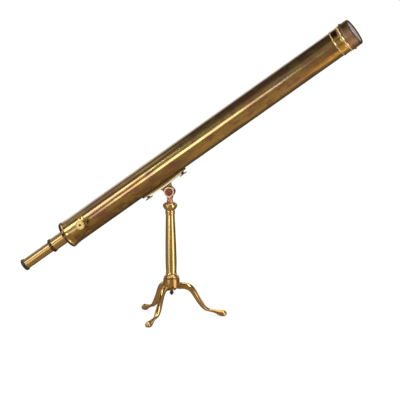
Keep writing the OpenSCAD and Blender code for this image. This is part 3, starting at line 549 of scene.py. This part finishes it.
# Clear glass under a thin pale film of dust, the same from every side.
def lensGlass():
    values = dustyGlass
    material, tree, shader, place = newFinish("lensGlass")
    dust = noise(tree, place, *values["dust"])
    colour = tint(tree, spread(tree, dust, *values["dustRange"]), values["clean"], values["dusty"])
    feed(tree, shader, Base_Color=colour, Roughness=spread(tree, dust, *values["smears"]))
    setPlain(shader, Transmission_Weight=values["clear"], IOR=values["ior"], Sheen_Weight=values["film"],
             Sheen_Roughness=values["filmRoughness"], Sheen_Tint=values["filmColour"])
    return material


leather = {
    "dark": (0.10, 0.045, 0.022),
    "light": (0.20, 0.10, 0.05),
    "grain": 1400.0,        # pores per metre
    "clouds": (150, 4, 0.6),
    "cloudRange": (0.3, 0.7),
    "roughness": (0.0, 0.6, (0.62, 0.5)),
    "bump": 0.4,
    "bumpDepth": 0.0003,
}


# Leather washers: fine grain and a cloudy colour.
def waxedLeather():
    values = leather
    material, tree, shader, place = newFinish("waxedLeather")
    grain = put(tree, "ShaderNodeTexVoronoi",
                {"Vector": place, "Scale": values["grain"]}).outputs["Distance"]
    clouds = noise(tree, place, *values["clouds"])
    colour = tint(tree, spread(tree, clouds, *values["cloudRange"]), values["dark"], values["light"])
    bump = put(tree, "ShaderNodeBump", {"Height": grain, "Strength": values["bump"],
                                        "Distance": values["bumpDepth"]})
    feed(tree, shader, Base_Color=colour, Roughness=spread(tree, grain, *values["roughness"]),
         Normal=bump.outputs[0])
    return material


# Gives a finish to nodes of the model.
def clothe(material, *names):
    for name in names:
        for slot in nodes[name].material_slots:
            slot.material = material


print("finishes")
clothe(agedTube(), "body_tube")
wearers = {
    "tailBrass": ["tail_ring"],
    "drawnTubeBrass": ["drawtube", "eyepiece_tube"],
    "slideBrass": ["draw_collar"],
    "collarBrass": ["objective_collar", "focus_rack", "saddle_nuts"],
    "knobBrass": ["focus_knob"],
    "plateBrass": ["pinion_plate"],
    "standBrass": ["spindle_washer", "pillar"],
    "hubBrass": ["tripod_hub", "hub_washer"],
    "castBrass": ["leg_1", "leg_2", "leg_3"],
    "saddleBrass": ["saddle_bar"],
    "thumbBrass": ["rear_thumbscrew", "front_thumbscrew"],
    "knuckleBrass": ["swivel_head"],
    "brownedBrass": ["objective_cell", "inner_guide_ring", "lens_spacer_ring", "eyepiece_rings",
                     "erector_cell"],
    "rimBrass": ["objective_rim"],
    "darkRingBrass": ["drawtube_ring"],
    "copperScrew": ["pinion_plate_screws", "pinion_shaft", "tilt_screw"],
    "darkIron": ["knob_screw", "rack_screws", "spindle_nut", "leg_hinge_pins", "hub_bolt"],
}
finishes = {finish: turnedMetal(finish) for finish in wearers}
for finish, names in wearers.items():
    clothe(finishes[finish], *names)
clothe(blackLacquer(), "tube_stop_rear", "tube_stop_front", "eye_cap")
clothe(lensGlass(), "flint_lens", "crown_lens", "eye_lens", "field_lens", "erector_lens_rear",
       "erector_lens_front")
clothe(waxedLeather(), "tilt_washers")

# Legs

cabrioleLeg = {
    # radius from the pillar, height, half depth and half width, all in millimetres
    "rows": [
        (27, 100.9, 10.4, 6.2), (38, 100.4, 10.6, 7.0), (48, 98.2, 10.6, 7.6), (58, 92.8, 10.3, 8.0),
        (66.5, 84, 9.8, 8.2), (73.5, 73, 9.2, 8.2), (80, 61, 8.8, 8.4), (87, 49.5, 8.4, 8.8),
        (94.5, 38.5, 7.9, 9.2), (101.5, 30, 7.0, 9.0), (109, 24, 5.9, 7.4), (117, 20.6, 4.9, 5.6),
        (126, 18.3, 4.9, 5.4), (136, 15.6, 6.0, 6.8), (146, 12.2, 8.0, 8.8), (155, 9.8, 10.1, 10.2),
        (163, 9.0, 9.4, 9.6), (169, 8.4, 5.8, 6.4), (171.6, 8.2, 1.0, 1.2)],
    "steps": 8,             # rings between two rows
    "around": 64,           # points in a ring
    "crown": 0.14,          # how flat the upper half of a ring is
    "crownPower": 6,
    "widerBelow": 0.12,     # how much wider a ring is below than above
    "sharpAbove": 35,       # degrees between faces that keep a sharp edge
    "tongue": {"hinge": (20.0, 101.5), "hole": 2.55, "round": 9.5, "front": 12.0, "above": 9.9,
               "below": 10.9, "half": 4.5, "edge": 0.35, "around": 120},
    "directions": (16, 136, 256),
}


# Quads between neighbouring rings of points. The row of rings ends in fans to a middle point, or
# runs round into itself.
def ringFaces(rings, capped):
    count, around = rings.shape[:2]
    index = np.arange(count * around).reshape(count, around)
    near, far = (index[:-1], index[1:]) if capped else (index, np.roll(index, -1, 0))
    quads = np.stack([near, np.roll(near, -1, 1), np.roll(far, -1, 1), far], -1).reshape(-1, 4).tolist()
    points = rings.reshape(-1, 3)
    if not capped:
        return points, quads
    points = np.vstack([points, rings[0].mean(0), rings[-1].mean(0)])
    first, last = index[0], index[-1]
    start = np.stack([np.full(around, count * around), np.roll(first, -1), first], -1)
    end = np.stack([np.full(around, count * around + 1), last, np.roll(last, -1)], -1)
    return points, quads + start.tolist() + end.tolist()


# Blade of a leg. The rows are blended by a cubic through each four neighbours. A ring stands square
# to the path: depth times sine, a little flatter on the crown, and width times cosine, wider below.
# What would pass under the floor is pressed flat into the pad of the foot.
def legBlade():
    rows = np.array(cabrioleLeg["rows"], float)
    last = len(rows) - 1
    along = np.linspace(0, last, last * cabrioleLeg["steps"] + 1)
    i = np.minimum(along.astype(int), last - 1)
    t = (along - i)[:, None]
    a, b, c, d = (rows[np.clip(i + k, 0, last)] for k in (-1, 0, 1, 2))
    path = 0.5 * (2 * b + (c - a) * t + (2 * a - 5 * b + 4 * c - d) * t ** 2
                  + (3 * b - a - 3 * c + d) * t ** 3)
    slope = np.gradient(path[:, :2], axis=0)
    slope /= np.linalg.norm(slope, axis=1, keepdims=True)
    turn = np.linspace(0, 2 * np.pi, cabrioleLeg["around"], endpoint=False)
    s = np.sin(turn)
    crown = cabrioleLeg["crown"]
    rise = path[:, 2:3] * np.where(s > 0, (1 - crown) * s + crown * s ** cabrioleLeg["crownPower"], s)
    side = path[:, 3:4] * np.cos(turn) * (1 - cabrioleLeg["widerBelow"] * s)
    radius = path[:, 0:1] - slope[:, 1:2] * rise
    height = np.maximum(path[:, 1:2] + slope[:, 0:1] * rise, 0)
    return ringFaces(np.stack([radius, side, height], -1), True)


# Tongue of a leg: a flat ring round the hinge pin. Its outline is round toward the pillar and square
# toward the blade; the section is carried round the pin, with its four edges taken off.
def legTongue():
    v = cabrioleLeg["tongue"]
    turn = np.linspace(0, 2 * np.pi, v["around"], endpoint=False)
    c, s = np.cos(turn), np.sin(turn)
    square = np.minimum(v["front"] / np.maximum(c, 1e-6),
                        np.where(s > 0, v["above"], v["below"]) / np.maximum(np.abs(s), 1e-6))
    outer = np.where(c > 1e-3, square, v["round"])[:, None]
    inner = np.full_like(outer, v["hole"])
    e, h = v["edge"], v["half"]
    reach = np.hstack([inner, inner + e, outer - e, outer, outer, outer - e, inner + e, inner])
    side = np.broadcast_to([-h + e, -h, -h, -h + e, h - e, h, h, h - e], reach.shape)
    rings = np.stack([v["hinge"][0] + reach * c[:, None], side, v["hinge"][1] + reach * s[:, None]], -1)
    return ringFaces(rings, False)


# One leg: blade and tongue, turned round the pillar to the leg's direction.
def makeLeg(number, degrees, bladeAndTongue):
    points, faces = [], []
    for surfacePoints, surfaceFaces in bladeAndTongue:
        offset = sum(len(p) for p in points)
        points.append(surfacePoints)
        faces += [[corner + offset for corner in face] for face in surfaceFaces]
    radius, side, height = np.vstack(points).T / 1000
    c, s = math.cos(math.radians(degrees)), math.sin(math.radians(degrees))
    placed = np.stack([radius * c - side * s, radius * s + side * c, height], -1)
    mesh = bpy.data.meshes.new("cabrioleLeg%d" % number)
    mesh.from_pydata(placed.tolist(), [], faces)
    mesh.polygons.foreach_set("use_smooth", [True] * len(mesh.polygons))
    mesh.set_sharp_from_angle(angle=math.radians(cabrioleLeg["sharpAbove"]))
    mesh.materials.append(finishes["castBrass"])
    leg = bpy.data.objects.new(mesh.name, mesh)
    scene.collection.objects.link(leg)
    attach(leg, "leg_%d" % number)
    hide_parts("leg_%d" % number)


print("legs")
legShape = [legBlade(), legTongue()]
for number, degrees in enumerate(cabrioleLeg["directions"], 1):
    makeLeg(number, degrees, legShape)

# Studio

room = {
    "diffuse": 0.72,                    # plain level that every side gets
    # what polished metal sees
    "front": (0.27, 0.235, 0.19),       # beside and behind the camera
    "backdrop": (1.0, 1.0, 1.0),
    "lowBack": (0.09, 0.07, 0.05),
    "ceiling": (0.07, 0.055, 0.045),
    "overhead": (2.0, 1.9, 1.75),
    "below": (0.36, 0.24, 0.12),
    "belowBehind": (0.10, 0.075, 0.045),
    # where one part gives way to the next, in the direction's share toward the back or upward
    "backFrom": (0.10, 0.55),
    "backdropFrom": (0.02, 0.20),
    "ceilingFrom": (0.32, 0.60),
    "overheadFrom": (0.80, 0.90),
    "belowFrom": (-0.20, -0.50),
    "belowBehindFrom": (0.15, 0.50),
}


# White for the camera. Metal sees a dim room: a white backdrop high behind, a dark wall above it, a
# pale patch overhead and a warm floor in front.
def makeWorld():
    world = bpy.data.worlds.new("studio")
    world.use_nodes = True
    scene.world = world
    tree = world.node_tree
    tree.nodes.clear()
    way = put(tree, "ShaderNodeTexCoord").outputs["Generated"]
    parts = put(tree, "ShaderNodeSeparateXYZ", {0: way}).outputs
    behind = spread(tree, parts[1], *room["backFrom"])
    seen = tint(tree, behind, room["front"], room["lowBack"])
    high = maths(tree, "MULTIPLY", behind, spread(tree, parts[2], *room["backdropFrom"]))
    seen = tint(tree, high, seen, room["backdrop"])
    seen = tint(tree, spread(tree, parts[2], *room["ceilingFrom"]), seen, room["ceiling"])
    seen = tint(tree, spread(tree, parts[2], *room["overheadFrom"]), seen, room["overhead"])
    floorSeen = tint(tree, spread(tree, parts[1], *room["belowBehindFrom"]), room["below"],
                     room["belowBehind"])
    seen = tint(tree, spread(tree, parts[2], *room["belowFrom"]), seen, floorSeen)
    rays = put(tree, "ShaderNodeLightPath").outputs
    colour = tint(tree, rays["Is Glossy Ray"], (room["diffuse"],) * 3, seen)
    white = maths(tree, "MAXIMUM", rays["Is Camera Ray"], rays["Is Transmission Ray"])
    colour = tint(tree, white, colour, (1, 1, 1))
    sky = put(tree, "ShaderNodeBackground", {"Color": colour, "Strength": 1.0})
    put(tree, "ShaderNodeOutputWorld", {"Surface": sky.outputs[0]})


paleFloor = {
    "side": 40.0,           # metres from the middle to an edge
    "colour": (0.55, 0.55, 0.54, 1),
    "glow": 0.62,           # for the camera alone
}


# Pale floor that keeps a soft shadow; lamps below its level still reach polished metal.
def makeFloor():
    side = paleFloor["side"]
    mesh = bpy.data.meshes.new("floor")
    mesh.from_pydata([(-side, -side, 0), (side, -side, 0), (side, side, 0), (-side, side, 0)], [],
                     [(0, 1, 2, 3)])
    floor = bpy.data.objects.new("floor", mesh)
    scene.collection.objects.link(floor)
    material = bpy.data.materials.new("paleFloor")
    material.use_nodes = True
    tree = material.node_tree
    tree.nodes.clear()
    plain = put(tree, "ShaderNodeBsdfDiffuse", {"Color": paleFloor["colour"]}).outputs[0]
    cameraRay = put(tree, "ShaderNodeLightPath").outputs["Is Camera Ray"]
    strength = maths(tree, "MULTIPLY", cameraRay, paleFloor["glow"])
    glow = put(tree, "ShaderNodeEmission", {"Strength": strength}).outputs[0]
    both = put(tree, "ShaderNodeAddShader", {0: plain, 1: glow}).outputs[0]
    put(tree, "ShaderNodeOutputMaterial", {0: both})
    mesh.materials.append(material)
    floor.visible_glossy = False
    floor.visible_shadow = False


# Soft lamp at a place, its long side along a direction, facing a point; radiance as metal sees it.
def lamp(name, centre, along, size, radiance, shape, toward, colour=(1, 1, 1)):
    facing = (Vector(toward) - Vector(centre)).normalized()
    long = Vector(along)
    long = (long - facing * long.dot(facing)).normalized()
    data = bpy.data.lights.new(name, "AREA")
    data.shape = shape
    data.size, data.size_y = size
    area = size[0] * size[1] * (math.pi / 4 if shape == "ELLIPSE" else 1)
    data.energy = radiance * area * math.pi
    data.color = colour
    light = bpy.data.objects.new(name, data)
    scene.collection.objects.link(light)
    turn = Matrix((long, long.cross(facing), -facing)).transposed().to_4x4()
    light.matrix_world = Matrix.Translation(centre) @ turn
    light.visible_camera = False


# Where a lamp must stand to be seen in the tube at a station and an angle round it.
def mirrorPlace(station, degrees, reach):
    spot = tubePoint(station, tubeRadius, degrees)
    normal = (spot - tubePoint(station)).normalized()
    toCamera = (cameraPlace - spot).normalized()
    return spot + (2 * normal.dot(toCamera) * normal - toCamera) * reach


# Long lamp whose reflection lies along the tube between two stations.
def tubeStrip(name, first, last, degrees, width, radiance, colour=(1, 1, 1), reach=2.2):
    a, b = mirrorPlace(first, degrees[0], reach), mirrorPlace(last, degrees[1], reach)
    middle = tubePoint((first + last) / 2, tubeRadius, sum(degrees) / 2)
    lamp(name, (a + b) / 2, b - a, ((b - a).length, width), radiance, "ELLIPSE", middle, colour)


# Tall softbox at an angle from the camera, as the pillar sees it.
def sideBox(name, turn, width, radiance, low=-0.55, high=0.45, reach=2.0):
    a = math.radians(view["azimuth"] + turn)
    middle = (low + high) / 2
    centre = (math.sin(a) * reach, -math.cos(a) * reach, middle)
    lamp(name, centre, (0, 0, 1), (high - low, width), radiance, "RECTANGLE", (0, 0, middle))


print("studio")
makeWorld()
makeFloor()
sideBox("leftBox", turn=-43, width=0.60, radiance=1.45, low=-1.2, high=0.15)
sideBox("rightBox", turn=52, width=1.10, radiance=2.2, low=-1.2)
tubeStrip("upperStrip", first=-0.64, last=0.06, degrees=(20.5, 19.5), width=0.88, radiance=3.1)
tubeStrip("lowerStrip", first=-0.20, last=0.50, degrees=(2.5, 2), width=0.75, radiance=3.05)
tubeStrip("leftCard", first=-0.60, last=0.10, degrees=(43, 45), width=1.35, radiance=0.37)
tubeStrip("warmCard", first=0.50, last=0.80, degrees=(-42, -42), width=0.60, radiance=0.33,
          colour=(1.0, 0.80, 0.55))
lamp("highBox", centre=(1.30, -0.85, 1.55), along=(-0.5, 0.8, 0), size=(0.9, 0.35), radiance=7.0,
     shape="RECTANGLE", toward=(0, 0, 0.1))

scene.view_settings.view_transform = "Standard"
